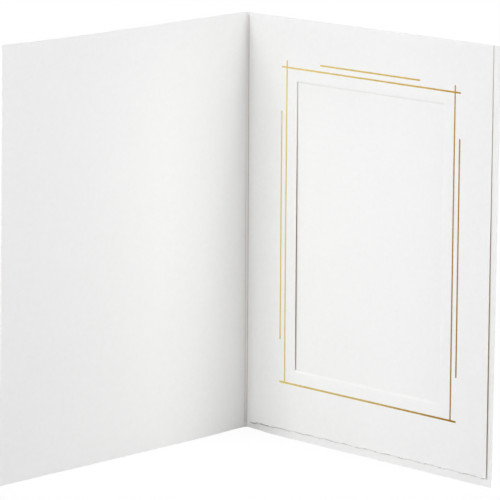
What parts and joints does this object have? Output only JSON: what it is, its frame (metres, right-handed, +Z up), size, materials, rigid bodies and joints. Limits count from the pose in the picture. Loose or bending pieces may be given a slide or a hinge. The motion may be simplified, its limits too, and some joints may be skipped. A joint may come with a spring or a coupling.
{
  "type": "photo folder",
  "caption": "White card photo folder standing open like a book: a plain cover on a creased spine, and a back panel with a torn-edge window mat bordered in gold lines.",
  "frame": {"origin": "under the middle of the standing folder, on the surface that it stands on", "axes": "+Z up along the spine; +X along the back panel from the spine to its fore edge; the back panel's inner face looks towards -Y"},
  "size_m": [0.1616, 0.1534, 0.2032],
  "materials": {
    "card": "uncoated, fine eggshell grain",
    "glue": "dried paper glue",
    "gold_foil": "gold hot-stamped foil"
  },
  "bodies": {
    "back": {"back_panel": "card", "mat_top_fold": "card", "window_mat": "card", "glue_line_top": "glue", "glue_line_bottom": "glue", "glue_line_spine_side": "glue", "foil_border": "gold_foil", "foil_accent_top": "gold_foil", "foil_accent_spine_side": "gold_foil", "foil_accent_fore_side": "gold_foil"},
    "spine": {"spine_strip": "card"},
    "cover": {"front_cover": "card"}
  },
  "joints": [
    {"name": "back_crease", "type": "hinge", "parent": "back", "child": "spine", "pos_m": [-0.07162, 0.07647, 0.1016], "axis": [0, 0, 1], "range_deg": [-43.5, 46.5]},
    {"name": "cover_crease", "type": "hinge", "parent": "spine", "child": "cover", "pos_m": [-0.0726, 0.07554, 0.1016], "axis": [0, 0, 1], "range_deg": [-43.5, 46.5]}
  ]
}
